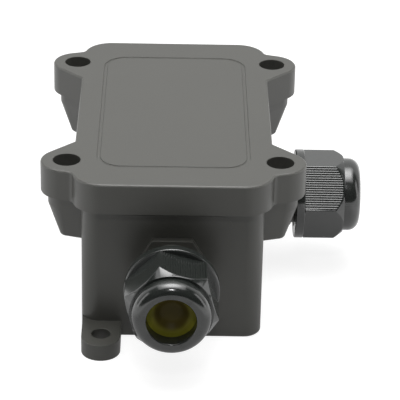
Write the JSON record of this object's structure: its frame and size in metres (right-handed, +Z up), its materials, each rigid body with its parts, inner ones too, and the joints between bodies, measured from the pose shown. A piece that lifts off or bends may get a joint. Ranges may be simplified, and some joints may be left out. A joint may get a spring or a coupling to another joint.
{
  "type": "waterproof junction box",
  "caption": "Small weatherproof cable junction box with a screwed lid, compression-nut cable entries and a terminal block inside.",
  "frame": {"origin": "centre of the base's underside", "axes": "+Z up through the lid, -Y out of the front cable entry, +X out of the side cable entry"},
  "size_m": [0.087, 0.1456, 0.0461],
  "materials": {
    "housing": "fine matt texture, charcoal grey",
    "nut": "smooth satin nylon, dark grey",
    "disc": "dull olive yellow",
    "clamp_ring": "smooth nylon",
    "rubber": "matt black rubber",
    "gasket": "matt black rubber",
    "lid_screw": "stainless steel",
    "terminal_block": "natural white nylon",
    "brass": "turned brass",
    "zinc_screw": "zinc plated"
  },
  "bodies": {
    "base": {"base": "housing", "block_screw_1": "zinc_screw", "block_screw_2": "zinc_screw", "front_clamp_ring": "clamp_ring", "front_seal": "rubber", "rear_clamp_ring": "clamp_ring", "rear_seal": "rubber", "screw_insert_1": "brass", "screw_insert_2": "brass", "screw_insert_3": "brass", "screw_insert_4": "brass", "side_clamp_ring": "clamp_ring", "side_seal": "rubber", "terminal_block": "terminal_block", "terminal_screw_1": "zinc_screw", "terminal_screw_2": "zinc_screw", "terminal_screw_3": "zinc_screw", "terminal_screw_4": "zinc_screw", "terminal_screw_5": "zinc_screw", "terminal_screw_6": "zinc_screw", "terminal_sleeve_1": "brass", "terminal_sleeve_2": "brass", "terminal_sleeve_3": "brass"},
    "lid": {"lid": "housing", "lid_gasket": "gasket", "lid_screw_1": "lid_screw", "lid_screw_2": "lid_screw", "lid_screw_3": "lid_screw", "lid_screw_4": "lid_screw", "screw_washer_1": "rubber", "screw_washer_2": "rubber", "screw_washer_3": "rubber", "screw_washer_4": "rubber"},
    "front_disc": {"front_disc": "disc"},
    "front_nut": {"front_nut": "nut"},
    "side_disc": {"side_disc": "disc"},
    "side_nut": {"side_nut": "nut"},
    "rear_disc": {"rear_disc": "disc"},
    "rear_nut": {"rear_nut": "nut"}
  },
  "joints": [
    {"name": "lid_lift", "type": "slide", "parent": "base", "child": "lid", "axis": [0, 0, 1], "range_m": [0, 0.06]},
    {"name": "front_nut_travel", "type": "slide", "parent": "base", "child": "front_disc", "axis": [0, -1, 0], "range_m": [-0.003, 0.009]},
    {"name": "front_nut_turn", "type": "hinge", "parent": "front_disc", "child": "front_nut", "pos_m": [0, -0.05955, 0.0208], "axis": [0, -1, 0], "range_deg": [-720, 2160]},
    {"name": "side_nut_travel", "type": "slide", "parent": "base", "child": "side_disc", "axis": [1, 0, 0], "range_m": [-0.003, 0.009]},
    {"name": "side_nut_turn", "type": "hinge", "parent": "side_disc", "child": "side_nut", "pos_m": [0.0389, 0, 0.0208], "axis": [1, 0, 0], "range_deg": [-720, 2160]},
    {"name": "rear_nut_travel", "type": "slide", "parent": "base", "child": "rear_disc", "axis": [0, 1, 0], "range_m": [-0.003, 0.009]},
    {"name": "rear_nut_turn", "type": "hinge", "parent": "rear_disc", "child": "rear_nut", "pos_m": [0, 0.05955, 0.0208], "axis": [0, 1, 0], "range_deg": [-720, 2160]}
  ],
  "couplings": [
    {"joint": "front_nut_travel", "follows": "front_nut_turn", "m_per_rad": 0.00023873},
    {"joint": "side_nut_travel", "follows": "side_nut_turn", "m_per_rad": 0.00023873},
    {"joint": "rear_nut_travel", "follows": "rear_nut_turn", "m_per_rad": 0.00023873}
  ]
}
